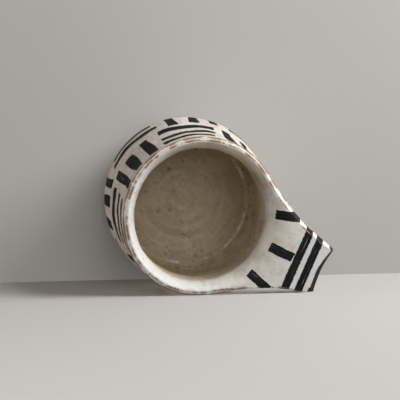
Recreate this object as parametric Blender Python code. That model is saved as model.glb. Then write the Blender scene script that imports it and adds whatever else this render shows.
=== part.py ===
"""A hand-built stoneware mug with a flat tab at its rim in place of a loop handle.

The cup's axis is Z, the centre of the foot is the origin, and the tab points along -X.
Turned pieces are profiles of (radius, height) points, spun round Z by a Screw modifier.
"""

import math

import bmesh
import bpy
from mathutils import Vector

# Cup, in metres
RIM_RADIUS = 0.0420
BELLY_RADIUS = 0.0470
FOOT_RADIUS = 0.0310
CUP_HEIGHT = 0.0800
BELLY_HEIGHT = 0.0240
FOOT_BAND = 0.0025
FOOT_CHAMFER = 0.0006
FLOOR_HEIGHT = 0.0090
FLOOR_INSET = 0.0090
WALL = 0.0065
SHOULDER_POWER = 1.5

# Lip and tab
RIM_BAND = 0.0065
EDGE_CHAMFER = 0.0017
TAB_REACH = 0.0748
TAB_END_WIDTH = 0.0270
TAB_END_HOLLOW = 0.0014
TAB_FLANK_RADIUS = 0.1360
TAB_CORNER = 0.0016
TAB_ROLL = 0.0110

# Luting coil under the tab
LUTING_LEG = 0.0080

# Coats, and the gap between pieces that touch
COAT = 0.0008
GLAZE_LINE = math.radians(25.0)
GAP = 0.0003
LEAST_COIL = 0.0006

# Resolution
TURN_STEPS = 48
LOWER_STEPS = 6
UPPER_STEPS = 8
CORNER_STEPS = 9
FLANK_STEPS = 9
BEND_STEPS = 4
END_STEPS = 4

THROAT_RADIUS = RIM_RADIUS - WALL
BAND_BOTTOM = CUP_HEIGHT - RIM_BAND
UNDER_COAT = COAT + GAP
SLAB_TOP = FLOOR_HEIGHT - UNDER_COAT


def material(name, colour, roughness):
    made = bpy.data.materials.new(name)
    made.use_nodes = True
    shader = made.node_tree.nodes["Principled BSDF"]
    shader.inputs["Base Color"].default_value = (*colour, 1.0)
    shader.inputs["Roughness"].default_value = roughness
    shader.inputs["Metallic"].default_value = 0.0
    return made


def add_object(name, mesh, finish):
    mesh.materials.append(finish)
    made = bpy.data.objects.new(name, mesh)
    bpy.context.scene.collection.objects.link(made)
    return made


def turned(name, profile, finish, closed):
    """A profile of (radius, height) points spun round Z. It runs down the outer side of the piece."""
    mesh = bpy.data.meshes.new(name)
    edges = [(i, i + 1) for i in range(len(profile) - 1)]
    if closed:
        edges.append((len(profile) - 1, 0))
    mesh.from_pydata([(radius, 0.0, height) for radius, height in profile], edges, [])
    made = add_object(name, mesh, finish)
    spin = made.modifiers.new("Spin", "SCREW")
    spin.steps = TURN_STEPS
    spin.render_steps = TURN_STEPS
    spin.use_merge_vertices = True
    spin.merge_threshold = 1e-6
    spin.use_smooth_shade = True
    return made


def lower_outline(start=0.0):
    """The outside below the belly: a quarter of an ellipse, by the angle from the foot up to the belly."""
    points = []
    for i in range(LOWER_STEPS + 1):
        angle = start + (math.pi / 2 - start) * i / LOWER_STEPS
        radius = FOOT_RADIUS + (BELLY_RADIUS - FOOT_RADIUS) * math.sin(angle)
        height = BELLY_HEIGHT - (BELLY_HEIGHT - FOOT_BAND) * math.cos(angle)
        points.append((radius, height))
    return points


def upper_outline():
    """The outside from just above the belly to the lip, drawn in by a cosine."""
    points = []
    for i in range(1, UPPER_STEPS + 1):
        share = i / UPPER_STEPS
        fullness = (0.5 + 0.5 * math.cos(math.pi * share)) ** SHOULDER_POWER
        radius = RIM_RADIUS + (BELLY_RADIUS - RIM_RADIUS) * fullness
        points.append((radius, BELLY_HEIGHT + (CUP_HEIGHT - BELLY_HEIGHT) * share))
    return points


def offset(path, distance):
    """The path moved to its right-hand side, seen with the radius to the right and the height up."""
    moved = []
    for i, (radius, height) in enumerate(path):
        before = path[max(i - 1, 0)]
        after = path[min(i + 1, len(path) - 1)]
        along = Vector((after[0] - before[0], after[1] - before[1])).normalized()
        moved.append((radius + along.y * distance, height - along.x * distance))
    return moved


def at_height(path, height):
    """The point where a path that climbs passes this height."""
    for (r0, z0), (r1, z1) in zip(path, path[1:]):
        if z0 <= height <= z1:
            return (r0 + (r1 - r0) * (height - z0) / (z1 - z0), height)
    raise ValueError("the path doesn't reach this height")


def between(path, low, high):
    """The stretch of a climbing path from one height to another."""
    inside = [point for point in path if low < point[1] < high]
    return [at_height(path, low), *inside, at_height(path, high)]


def outside(start=0.0):
    return lower_outline(start) + upper_outline()


def inside_wall():
    return offset(outside(), -WALL)


def inside_corner():
    """The round inner corner, from the flat of the floor up to the belly: a quarter of an ellipse."""
    flat = FOOT_RADIUS - FLOOR_INSET
    points = []
    for i in range(CORNER_STEPS + 1):
        angle = math.pi / 2 * i / CORNER_STEPS
        radius = flat + (BELLY_RADIUS - WALL - flat) * math.sin(angle)
        height = BELLY_HEIGHT - (BELLY_HEIGHT - FLOOR_HEIGHT) * math.cos(angle)
        points.append((radius, height))
    return points


def base_slab(clay):
    edge = between(offset(outside(), -UNDER_COAT), FOOT_BAND + UNDER_COAT, SLAB_TOP)
    profile = [(0.0, SLAB_TOP), *reversed(edge)]
    profile += [(FOOT_RADIUS, FOOT_CHAMFER), (FOOT_RADIUS - FOOT_CHAMFER, 0.0), (0.0, 0.0)]
    return turned("base_slab", profile, clay, closed=False)


def cup_wall(clay):
    low = SLAB_TOP + GAP
    high = BAND_BOTTOM - GAP
    outer = between(offset(outside(), -UNDER_COAT), low, high)
    inner = between(offset(inside_wall(), UNDER_COAT), low, high)
    return turned("cup_wall", [*reversed(outer), *inner], clay, closed=True)


def floor_corner_coil(clay):
    """Fills the corner between slab and wall, and ends where it would feather out."""
    seat = SLAB_TOP + GAP
    wall = offset(inside_wall(), UNDER_COAT - GAP)
    face = []
    for radius, height in offset(inside_corner(), UNDER_COAT):
        room = at_height(wall, height)[0] - radius if height > seat else 0.0
        if room > LEAST_COIL and height - seat > LEAST_COIL:
            face.append((radius, height))
    back = between(wall, seat, face[-1][1])
    return turned("floor_corner_coil", [*reversed(back), (face[0][0], seat), *face], clay, closed=True)


def slip_coat(slip):
    high = BAND_BOTTOM - GAP
    outer = outside(GLAZE_LINE)
    outer = between(outer, outer[0][1], high)
    inner = offset(outside(GLAZE_LINE), -COAT)
    inner = between(inner, inner[0][1], high)
    return turned("slip_coat", [*reversed(outer), *inner], slip, closed=True)


def liner_glaze(glaze):
    high = BAND_BOTTOM - GAP
    above = [point for point in inside_wall() if point[1] > BELLY_HEIGHT]
    path = inside_corner() + above
    inner = between(path, FLOOR_HEIGHT, high)
    back = offset(path, COAT)
    back = between(back, back[0][1], high)
    profile = [(0.0, FLOOR_HEIGHT), *inner, *reversed(back), (0.0, FLOOR_HEIGHT - COAT)]
    return turned("liner_glaze", profile, glaze, closed=False)


def flank_centre():
    """The centre of the hollow flank at +Y, whose arc touches the rim circle and passes the end's corner."""
    away = RIM_RADIUS + TAB_FLANK_RADIUS
    corner = Vector((-TAB_REACH, TAB_END_WIDTH / 2))
    reach = corner.length
    turn = math.acos((away**2 + reach**2 - TAB_FLANK_RADIUS**2) / (2 * away * reach))
    bearing = math.atan2(corner.y, -corner.x) + turn
    return Vector((-away * math.cos(bearing), away * math.sin(bearing)))


def end_radius():
    """The radius of the tab's hollow end, from its width and its depth."""
    return ((TAB_END_WIDTH / 2) ** 2 + TAB_END_HOLLOW**2) / (2 * TAB_END_HOLLOW)


def root_angle():
    """Half of the angle that the root of the tab takes up on the rim."""
    centre = flank_centre()
    return math.atan2(centre.y, -centre.x)


def where_circles_meet(first, first_radius, second, second_radius):
    """The point nearer to the axis where two circles meet."""
    between_centres = second - first
    away = between_centres.length
    along = (first_radius**2 - second_radius**2 + away**2) / (2 * away)
    aside = math.sqrt(first_radius**2 - along**2)
    way = between_centres / away
    middle = first + along * way
    square = aside * Vector((-way.y, way.x))
    return max(middle + square, middle - square, key=lambda point: point.x)


def direction(vector):
    return math.atan2(vector.y, vector.x)


def arc(centre, radius, start, finish, steps):
    points = []
    for i in range(steps + 1):
        angle = start + (finish - start) * i / steps
        points.append(centre + radius * Vector((math.cos(angle), math.sin(angle))))
    return points


def tab_outline(inset):
    """The plan of the tab from its root at +Y, round the end, to its root at -Y."""
    flank = flank_centre()
    flank_radius = TAB_FLANK_RADIUS + inset
    hollow_radius = end_radius() + inset
    hollow = Vector((TAB_END_HOLLOW - TAB_REACH - end_radius(), 0.0))
    corner = TAB_CORNER - inset / 2
    bend = where_circles_meet(flank, flank_radius + corner, hollow, hollow_radius + corner)
    half = arc(flank, flank_radius, direction(-flank), direction(bend - flank), FLANK_STEPS)
    turn = direction(hollow - bend) % math.tau
    half += arc(bend, corner, direction(flank - bend), turn, BEND_STEPS)[1:]
    opening = direction(bend - hollow)
    middle = arc(hollow, hollow_radius, opening, -opening, END_STEPS)[1:-1]
    return half + middle + [Vector((point.x, -point.y)) for point in reversed(half)]


def roll_radius(bearing, drop):
    """The radius of the rolled inner edge at a depth under the rim, widest along the tab's middle."""
    spread = math.cos(math.pi / 2 * bearing / root_angle()) ** 2
    top = RIM_RADIUS - EDGE_CHAMFER + TAB_ROLL * spread
    share = 1 - drop / RIM_BAND
    return top - (top - THROAT_RADIUS) * math.sqrt(1 - share**2)


def tab_handle(slip):
    """Sections in upright planes, from one root of the tab to the other, joined into one closed slab."""
    drops = [RIM_BAND * share for share in (1.0, 0.5)] + [EDGE_CHAMFER, EDGE_CHAMFER / 3, 0.0]
    plans = [tab_outline(max(0.0, EDGE_CHAMFER - drop)) for drop in drops]
    shape = bmesh.new()
    loops = []
    for column, lowest in enumerate(plans[0]):
        bearing = math.atan2(lowest.y, -lowest.x)
        points = [(*plan[column], CUP_HEIGHT - drop) for plan, drop in zip(plans, drops)]
        for drop in reversed(drops):
            radius = roll_radius(bearing, drop)
            points.append((-radius * math.cos(bearing), radius * math.sin(bearing), CUP_HEIGHT - drop))
        loops.append([shape.verts.new(point) for point in points])
    for first, second in zip(loops, loops[1:]):
        for i, vertex in enumerate(first):
            shape.faces.new((first[i - 1], vertex, second[i], second[i - 1]))
    shape.faces.new(loops[0])
    shape.faces.new(loops[-1])
    bmesh.ops.recalc_face_normals(shape, faces=shape.faces)
    mesh = bpy.data.meshes.new("tab_handle")
    shape.to_mesh(mesh)
    shape.free()
    mesh.shade_smooth()
    mesh.set_sharp_from_angle(angle=math.radians(35.0))
    return add_object("tab_handle", mesh, slip)


def wedge(name, half_angle, clearance, reach, finish):
    """A hidden three-sided block with its edge on the axis, opening along -X."""
    low = -reach
    high = 2 * reach
    corner = reach * math.tan(half_angle)
    spread = clearance / math.cos(half_angle)
    plan = [(0.0, 0.0), (-reach, corner), (-reach, -corner)]
    if clearance:
        plan = [(0.0, -spread), (0.0, spread), (-reach, corner + spread), (-reach, -corner - spread)]
    shape = bmesh.new()
    face = shape.faces.new([shape.verts.new((x, y, low)) for x, y in plan])
    moved = bmesh.ops.extrude_face_region(shape, geom=[face])["geom"]
    tops = [item for item in moved if isinstance(item, bmesh.types.BMVert)]
    bmesh.ops.translate(shape, verts=tops, vec=(0.0, 0.0, high - low))
    bmesh.ops.recalc_face_normals(shape, faces=shape.faces)
    mesh = bpy.data.meshes.new(name)
    shape.to_mesh(mesh)
    shape.free()
    made = add_object(name, mesh, finish)
    made.hide_render = True
    made.display_type = "WIRE"
    return made


def cut(target, cutter, operation):
    boolean = target.modifiers.new(operation.title(), "BOOLEAN")
    boolean.operation = operation
    boolean.object = cutter
    boolean.solver = "EXACT"


def lip_coil(slip):
    """The rolled lip, open between the two roots of the tab."""
    drops = [RIM_BAND * share for share in (0.0, 0.04, 0.15, 0.4, 0.7, 1.0)]
    roll = [(roll_radius(root_angle(), drop), CUP_HEIGHT - drop) for drop in drops]
    edge = [(RIM_RADIUS, CUP_HEIGHT - EDGE_CHAMFER), (RIM_RADIUS, BAND_BOTTOM)]
    ring = turned("lip_coil", [*edge, *reversed(roll)], slip, closed=True)
    cut(ring, wedge("tab_root_cutter", root_angle(), GAP, 2 * RIM_RADIUS, slip), "DIFFERENCE")
    return ring


def luting_angle():
    """Half of the angle that the luting coil takes up, with its far corners inside the tab's flanks."""
    reach = RIM_RADIUS + GAP + LUTING_LEG
    away = flank_centre().length
    turn = math.acos((reach**2 + away**2 - TAB_FLANK_RADIUS**2) / (2 * reach * away))
    return root_angle() - turn - EDGE_CHAMFER / reach


def tab_luting_coil(slip):
    """The hollow fillet in the corner between the coated wall and the underside of the tab."""
    wall = offset(outside(), GAP)
    high = BAND_BOTTOM - GAP
    back = between(wall, high - LUTING_LEG, high)
    foot, head = back[0], back[-1]
    centre = (head[0] + LUTING_LEG, foot[1])
    face = []
    for i in range(1, BEND_STEPS):
        angle = math.pi / 2 * (1 + i / BEND_STEPS)
        face.append((centre[0] + LUTING_LEG * math.cos(angle), centre[1] + LUTING_LEG * math.sin(angle)))
    rim = [(head[0] + LUTING_LEG, high), (head[0] + LUTING_LEG, high - LEAST_COIL)]
    toe = [(foot[0] + LEAST_COIL, foot[1])]
    ring = turned("tab_luting_coil", [*rim, *face[:-1], *toe, *back], slip, closed=True)
    cut(ring, wedge("luting_cutter", luting_angle(), 0.0, 2 * TAB_REACH, slip), "INTERSECT")
    return ring


def build():
    for old in list(bpy.data.objects):
        bpy.data.objects.remove(old, do_unlink=True)
    clay = material("bare_stoneware", (0.30, 0.19, 0.12), 0.85)
    slip = material("white_slip", (0.72, 0.68, 0.60), 0.55)
    glaze = material("beige_liner_glaze", (0.48, 0.43, 0.33), 0.40)
    base_slab(clay)
    cup_wall(clay)
    floor_corner_coil(clay)
    lip_coil(slip)
    tab_handle(slip)
    tab_luting_coil(slip)
    slip_coat(slip)
    liner_glaze(glaze)


build()
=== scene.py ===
"""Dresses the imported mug: a slip-coated wall, a rolled lip with a flat tab, a glazed lining and a bare foot.

Lengths are metres in the frame of the part: Z up the axis of the cup, the tab along -X.
"""

import math

import bmesh
import bpy
import numpy as np
from mathutils import Matrix, Vector


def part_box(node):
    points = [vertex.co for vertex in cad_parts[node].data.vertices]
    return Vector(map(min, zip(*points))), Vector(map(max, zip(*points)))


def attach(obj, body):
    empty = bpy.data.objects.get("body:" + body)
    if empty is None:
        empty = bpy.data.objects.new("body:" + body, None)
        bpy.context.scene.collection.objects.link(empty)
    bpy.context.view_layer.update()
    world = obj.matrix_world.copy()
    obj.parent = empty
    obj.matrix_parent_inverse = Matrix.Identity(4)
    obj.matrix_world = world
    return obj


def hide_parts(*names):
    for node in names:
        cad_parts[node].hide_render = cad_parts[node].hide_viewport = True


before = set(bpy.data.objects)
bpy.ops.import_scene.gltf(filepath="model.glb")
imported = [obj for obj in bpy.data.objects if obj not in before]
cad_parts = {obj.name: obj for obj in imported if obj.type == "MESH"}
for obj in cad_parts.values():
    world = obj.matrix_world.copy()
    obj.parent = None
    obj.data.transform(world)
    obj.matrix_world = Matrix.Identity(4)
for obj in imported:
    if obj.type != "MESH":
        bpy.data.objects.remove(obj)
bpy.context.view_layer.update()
LIP_LOW, LIP_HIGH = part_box("lip_coil")
COAT_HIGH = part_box("slip_coat")[1]

bl_info = {
    "name": "Hand-built mug",
    "version": (1, 0, 0),
    "blender": (4, 5, 0),
    "location": "View3D > Sidebar > Mug",
    "description": "Builds the skin, the finishes and the stage of a hand-built mug with a tab handle",
    "category": "Add Mesh",
}

MM = 0.001
QUARTER = math.pi / 2
SEED = 7
JOINT_GAP = 0.0003  # between one solid and the next
CLEAR = 5.0  # millimetres from a stroke or a worn arris at which nothing of it shows


def number(name, description, default):
    return bpy.props.FloatProperty(name=name, description=description, default=default)


def length(name, description, default):
    return bpy.props.FloatProperty(
        name=name, description=description, default=default, unit="LENGTH", subtype="DISTANCE", precision=5
    )


def angle(name, description, degrees):
    return bpy.props.FloatProperty(
        name=name, description=description, default=math.radians(degrees), unit="ROTATION", subtype="ANGLE"
    )


def colour(name, description, default):
    return bpy.props.FloatVectorProperty(
        name=name, description=description, default=default, subtype="COLOR", size=3, min=0.0, max=1.0
    )


class MugSizes(bpy.types.PropertyGroup):
    """Sizes of the cup and its tab, as the solids have them."""

    rim_radius: length("Rim radius", "Outside of the lip", LIP_HIGH.y)
    belly_radius: length("Belly radius", "Widest part of the cup", COAT_HIGH.x)
    foot_radius: length("Foot radius", "Bare disc that the mug stands on", 0.031)
    height: length("Height", "Foot to lip", LIP_HIGH.z)
    belly_height: length("Belly height", "Foot to the widest part", 0.024)
    foot_band: length("Foot band", "Upright edge of the foot", 0.0025)
    floor_height: length("Floor height", "Foot to the floor inside", 0.009)
    floor_inset: length("Floor inset", "From the edge of the foot in to where the floor turns up", 0.009)
    wall: length("Wall", "Thickness of the wall", 0.0065)
    band_bottom: length("Band bottom", "Height where lip and tab begin", LIP_LOW.z - JOINT_GAP)
    edge_chamfer: length("Edge chamfer", "Width of the slanted edge round lip and tab", 0.0017)
    edge_round: length("Edge round", "Radius on the two worn arrises", 0.0005)
    tab_reach: length("Tab reach", "Axis to the line through the tab's corners", 0.0748)
    tab_end_width: length("Tab end width", "Width of the tab at its end", 0.027)
    tab_end_hollow: length("Tab end hollow", "How far the end curves in", 0.0014)
    tab_flank_radius: length("Tab flank radius", "Hollow of the tab's sides", 0.136)
    tab_corner: length("Tab corner", "Radius on the corners of the tab", 0.0016)
    tab_roll: length("Tab roll", "How far the tab's face is drawn down into the cup", 0.011)
    luting_leg: length("Luting leg", "Size of the fillet under the tab", 0.008)
    coat: length("Coat", "Thickness of slip and glaze", 0.0008)
    glaze_line: angle("Glaze line", "Where the coat ends above the foot", 25.0)
    shoulder_power: number("Shoulder power", "How soon the wall draws in above the belly", 1.5)


class MugHand(bpy.types.PropertyGroup):
    """What the hand leaves on the clay: out of round, a lean, lumps and finger rings."""

    oval: length("Oval", "Out of round, each way", 0.00045)
    rim_bearing: angle("Rim bearing", "Long way of the oval at the rim", 87.0)
    belly_bearing: angle("Belly bearing", "Long way of the oval at the belly", 139.0)
    lean: length("Lean", "How far the belly sits off the axis", 0.0011)
    lean_bearing: angle("Lean bearing", "Which way the belly leans", 295.0)
    ring_depth: length("Ring depth", "Depth of the finger rings", 0.00005)
    lump: length("Lump", "How uneven the clay is, each way", 0.0010)
    ring_pitch: length("Ring pitch", "Distance from one finger ring to the next", 0.0085)
    lip_wave: length("Lip wave", "Rise and fall of the lip", 0.00022)


class MugFinish(bpy.types.PropertyGroup):
    """Colours of slip, pigment, worn edges, lining and clay."""

    slip: colour("Slip", "White slip under clear glaze", (0.875, 0.868, 0.85))
    slip_cloud: colour("Slip cloud", "Where the slip is thin", (0.66, 0.59, 0.51))
    # Worn slip darkens the wall, partly as painted shade
    slip_worn: colour("Worn slip", "Where the slip is rough and rubbed", (0.50, 0.43, 0.355))
    # Both pigment colours lean faintly blue, a painted reflection of the sky
    pigment: colour("Pigment", "Brushed iron black", (0.008, 0.0083, 0.0095))
    pigment_thin: colour("Thin pigment", "Where the brush ran dry", (0.024, 0.0245, 0.028))
    wear: colour("Wear", "Iron clay through the worn arrises", (0.27, 0.135, 0.052))
    wear_pale: colour("Pale wear", "Edge of the worn arrises", (0.52, 0.38, 0.245))
    lining: colour("Lining", "Glaze inside the cup", (0.79, 0.68, 0.49))
    # Painted shade: the lining made darker on the floor of the cup
    lining_pool: colour("Lining pool", "Glaze on the floor of the cup", (0.50, 0.40, 0.265))
    lining_cloud: colour("Lining cloud", "Where the inside glaze lies thick", (0.41, 0.32, 0.205))
    speck: colour("Speck", "Iron specks", (0.10, 0.055, 0.03))
    clay: colour("Clay", "Bare stoneware", (0.26, 0.16, 0.10))
    clay_dark: colour("Dark clay", "Scorched bare stoneware", (0.14, 0.085, 0.055))


class MugStage(bpy.types.PropertyGroup):
    """Floor, side plane, lamps and camera."""

    floor: colour("Floor", "Pale floor and side plane", (0.62, 0.60, 0.57))
    key_power: number("Key power", "Large lamp, watts", 12.0)
    mouth_power: number("Mouth power", "Lamp into the cup, watts", 3.5)
    side_power: number("Side power", "Low lamp beside the wall, watts", 3.0)
    fill_power: number("Fill power", "Low lamp behind the tab, watts", 3.6)
    room_strength: number("Room", "Light from all round", 0.12)
    horizon_strength: number("Horizon", "How pale the room looks", 0.75)
    focal_length: number("Focal length", "Millimetres on a 36 mm sensor", 111.2)


# Nodes


def opaque(shade):
    return (*shade, 1.0)


def shared(blocks, make):
    """What a function makes, made once and kept under the function's own name."""
    return blocks.get(make.__name__) or make()


class Nodes:
    """Adds nodes to a tree. Each input is a plain value or a socket to link."""

    def __init__(self, tree):
        self.tree = tree

    def add(self, kind, inputs=None, **settings):
        made = self.tree.nodes.new(kind)
        for key, value in settings.items():
            setattr(made, key, value)
        for key, value in (inputs or {}).items():
            if isinstance(value, bpy.types.NodeSocket):
                self.tree.links.new(value, made.inputs[key])
            else:
                made.inputs[key].default_value = value
        return made

    def group(self, make, inputs=None):
        tree = shared(bpy.data.node_groups, make)
        return self.add("ShaderNodeGroup", inputs, node_tree=tree).outputs

    def give(self, values):
        """Links each value to the group's output of that name."""
        self.add("NodeGroupOutput", values)

    def calc(self, operation, *values):
        return self.add("ShaderNodeMath", dict(enumerate(values)), operation=operation).outputs[0]

    def plus(self, first, second):
        return self.calc("ADD", first, second)

    def minus(self, first, second):
        return self.calc("SUBTRACT", first, second)

    def times(self, value, *factors):
        for factor in factors:
            value = self.calc("MULTIPLY", value, factor)
        return value

    def scaled(self, value, factor, added):
        """The value times the factor, with something added."""
        return self.calc("MULTIPLY_ADD", value, factor, added)

    def larger(self, first, second):
        return self.calc("MAXIMUM", first, second)

    def vector(self, operation, *values):
        return self.add("ShaderNodeVectorMath", dict(enumerate(values)), operation=operation).outputs[0]

    def stretched(self, vector, factor):
        return self.add("ShaderNodeVectorMath", {0: vector, "Scale": factor}, operation="SCALE").outputs[0]

    def reach(self, vector):
        return self.add("ShaderNodeVectorMath", {0: vector}, operation="LENGTH").outputs["Value"]

    def parts(self, vector):
        return self.add("ShaderNodeSeparateXYZ", {0: vector}).outputs

    def joined(self, x=0.0, y=0.0, z=0.0):
        return self.add("ShaderNodeCombineXYZ", {0: x, 1: y, 2: z}).outputs[0]

    def place(self):
        return self.add("ShaderNodeTexCoord").outputs["Object"]

    def attribute(self, name, output="Fac"):
        return self.add("ShaderNodeAttribute", attribute_name=name).outputs[output]

    def noise(self, place, scale, detail, roughness=0.5, output=0):
        inputs = {"Vector": place, "Scale": scale, "Detail": detail, "Roughness": roughness}
        return self.add("ShaderNodeTexNoise", inputs).outputs[output]

    def spots(self, place, scale):
        """Cells: the distance to the middle of the nearest, and the three chances that belong to it."""
        cells = self.add("ShaderNodeTexVoronoi", {"Vector": place, "Scale": scale}).outputs
        return cells["Distance"], self.add("ShaderNodeSeparateColor", {0: cells["Color"]}).outputs

    def span(self, value, low, high, to_low=0.0, to_high=1.0):
        """The value's place between two limits, eased, as a number between two others."""
        inputs = {"Value": value, "From Min": low, "From Max": high, "To Min": to_low, "To Max": to_high}
        return self.add("ShaderNodeMapRange", inputs, interpolation_type="SMOOTHSTEP").outputs[0]

    def tint(self, factor, under, over):
        """One colour over another, each three numbers or a socket."""
        inputs = {0: factor}
        for key, shade in ((6, under), (7, over)):
            inputs[key] = shade if isinstance(shade, bpy.types.NodeSocket) else opaque(shade)
        return self.add("ShaderNodeMix", inputs, data_type="RGBA").outputs[2]


def new_group(name, kind, takes, gives):
    """An empty node group. Its sockets are given as names with their kinds of value."""
    tree = bpy.data.node_groups.new(name, kind)
    for way, sockets in (("INPUT", takes), ("OUTPUT", gives)):
        for socket, value in sockets.items():
            tree.interface.new_socket(socket, in_out=way, socket_type="NodeSocket" + value)
    nodes = Nodes(tree)
    return nodes, nodes.add("NodeGroupInput").outputs


# Numbers that rise from 0 to 1 between two limits, straight or eased


def ramp(value, low, high):
    return np.clip((value - low) / (high - low), 0.0, 1.0)


def eased(value, low, high):
    share = ramp(value, low, high)
    return share * share * (3 - 2 * share)


# Outlines of the cup, as rows of (radius, height)


def outside(sizes, start=0.0, rows=400):
    """The outside of the cup from the foot to the lip."""
    turn = np.linspace(start, QUARTER, rows)
    wide = sizes.belly_radius - sizes.foot_radius
    tall = sizes.belly_height - sizes.foot_band
    lower = np.c_[sizes.foot_radius + wide * np.sin(turn), sizes.belly_height - tall * np.cos(turn)]
    share = np.linspace(0.0, 1.0, rows)[1:]
    full = (0.5 + 0.5 * np.cos(math.pi * share)) ** sizes.shoulder_power
    drawn = sizes.belly_radius - sizes.rim_radius
    climb = sizes.height - sizes.belly_height
    upper = np.c_[sizes.rim_radius + drawn * full, sizes.belly_height + climb * share]
    return np.vstack([lower, upper])


def inside(sizes, rows=200):
    """The inside of the cup from the edge of the flat floor to the lip."""
    turn = np.linspace(0.0, QUARTER, rows)
    flat = sizes.foot_radius - sizes.floor_inset
    wide = sizes.belly_radius - sizes.wall - flat
    tall = sizes.belly_height - sizes.floor_height
    corner = np.c_[flat + wide * np.sin(turn), sizes.belly_height - tall * np.cos(turn)]
    wall = offset(outside(sizes), -sizes.wall)
    return np.vstack([corner, wall[wall[:, 1] > sizes.belly_height]])


def offset(path, distance):
    """The path moved to its right-hand side, seen with the radius to the right and the height up."""
    along = np.gradient(path, axis=0)
    along /= np.linalg.norm(along, axis=1)[:, None]
    return path + distance * np.c_[along[:, 1], -along[:, 0]]


def below(path, height):
    return path[path[:, 1] < height]


def travelled(path):
    """How far along the path each of its points lies."""
    return np.r_[0.0, np.cumsum(np.linalg.norm(np.diff(path, axis=0), axis=1))]


def spaced(path, step):
    """The path with points one step apart."""
    travel = travelled(path)
    wanted = np.linspace(0.0, travel[-1], max(2, round(travel[-1] / step) + 1))
    return np.c_[[np.interp(wanted, travel, column) for column in path.T]].T


def spaced_corners(path, step):
    """The path with points added wherever two lie further apart than a step."""
    made = [path[0]]
    for first, second in zip(path, path[1:]):
        count = max(1, math.ceil(np.linalg.norm(second - first) / step))
        made += [first + (second - first) * share for share in np.linspace(0.0, 1.0, count + 1)[1:]]
    return np.array(made)


def rounded(points, radius, steps=6):
    """A run of straight lines with its inner corners rounded."""
    points = np.asarray(points, float)
    made = [points[0]]
    for before, corner, after in zip(points, points[1:], points[2:]):
        way_in = (before - corner) / np.linalg.norm(before - corner)
        way_out = (after - corner) / np.linalg.norm(after - corner)
        half = math.acos(np.clip(way_in @ way_out, -1.0, 1.0)) / 2
        back = radius / math.tan(half)
        for share in np.linspace(0.0, 1.0, steps):
            first = corner + way_in * back * (1 - share)
            second = corner + way_out * back * share
            made.append(first + (second - first) * share)
    made.append(points[-1])
    return np.array(made)


# The tab in plan, from its root at +Y round the end to its root at -Y


def flank_centre(sizes):
    """The centre of the hollow flank at +Y, whose arc touches the rim circle and passes the end's corner."""
    away = sizes.rim_radius + sizes.tab_flank_radius
    reach = math.hypot(sizes.tab_reach, sizes.tab_end_width / 2)
    turn = math.acos((away**2 + reach**2 - sizes.tab_flank_radius**2) / (2 * away * reach))
    bearing = math.atan2(sizes.tab_end_width / 2, sizes.tab_reach) + turn
    return away * np.array([-math.cos(bearing), math.sin(bearing)])


def where_circles_meet(first, first_radius, second, second_radius):
    """The point nearer to the axis where two circles meet."""
    apart = np.linalg.norm(second - first)
    way = (second - first) / apart
    along = (first_radius**2 - second_radius**2 + apart**2) / (2 * apart)
    aside = math.sqrt(first_radius**2 - along**2) * np.array([-way[1], way[0]])
    middle = first + along * way
    return max(middle + aside, middle - aside, key=lambda point: point[0])


def direction(vector):
    return math.atan2(vector[1], vector[0])


def arc(centre, radius, start, finish, points):
    turn = np.linspace(start, finish, points)
    return centre + radius * np.c_[np.cos(turn), np.sin(turn)]


def root_angle(sizes):
    """Half of the angle that the root of the tab takes up on the rim."""
    centre = flank_centre(sizes)
    return math.atan2(centre[1], -centre[0])


def tab_outline(sizes, inset, flank_points=56, bend_points=9, end_points=25):
    """The edge of the tab, moved in by inset."""
    flank = flank_centre(sizes)
    end_radius = ((sizes.tab_end_width / 2) ** 2 + sizes.tab_end_hollow**2) / (2 * sizes.tab_end_hollow)
    hollow = np.array([sizes.tab_end_hollow - sizes.tab_reach - end_radius, 0.0])
    flank_radius = sizes.tab_flank_radius + inset
    end_radius += inset
    corner = sizes.tab_corner - inset / 2
    bend = where_circles_meet(flank, flank_radius + corner, hollow, end_radius + corner)
    side = arc(flank, flank_radius, direction(-flank), direction(bend - flank), flank_points)
    turn = direction(hollow - bend) % math.tau
    half = np.vstack([side, arc(bend, corner, direction(flank - bend), turn, bend_points)[1:]])
    opening = direction(bend - hollow)
    end = arc(hollow, end_radius, opening, -opening, end_points)[1:-1]
    return np.vstack([half, end, half[::-1] * [1.0, -1.0]])


# The inner and the outer edge that lip and tab share

BEVEL_POWER = 1.45  # on the inner edge of the lip, where 1 is a flat bevel and 2 a round one
EDGE_STEP = 0.0006


def around_tab(bearing):
    """Unit steps outwards in plan. A bearing is 0 along the tab and a quarter turn at +Y."""
    return np.c_[-np.cos(bearing), np.sin(bearing)]


def roll(sizes, bearing, turn):
    """Radius and height on the inner edge, from the face (turn 0) down to the throat (a quarter turn)."""
    spread = np.cos(QUARTER * np.minimum(np.abs(bearing) / root_angle(sizes), 1.0)) ** 2
    power = 2 / (BEVEL_POWER + (2 - BEVEL_POWER) * spread)
    top = sizes.rim_radius - sizes.edge_chamfer + sizes.tab_roll * spread
    throat = sizes.rim_radius - sizes.wall
    band = sizes.height - sizes.band_bottom
    radius = top - (top - throat) * np.sin(turn) ** power
    return radius, sizes.band_bottom + band * np.cos(turn) ** power


def slanted(sizes, slant, depth):
    """The outer edge as (inset, drop): over the upper arris, down the slant, over the lower arris, down."""
    corners = [(slant + 2 * sizes.edge_round, 0.0), (slant, 0.0), (0.0, slant), (0.0, depth)]
    return rounded(corners, sizes.edge_round)


# Meshes


def new_piece(name, points, faces):
    mesh = bpy.data.meshes.new(name)
    mesh.from_pydata(points, [], faces)
    made = bpy.data.objects.new(name, mesh)
    bpy.context.scene.collection.objects.link(made)
    return made


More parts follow.
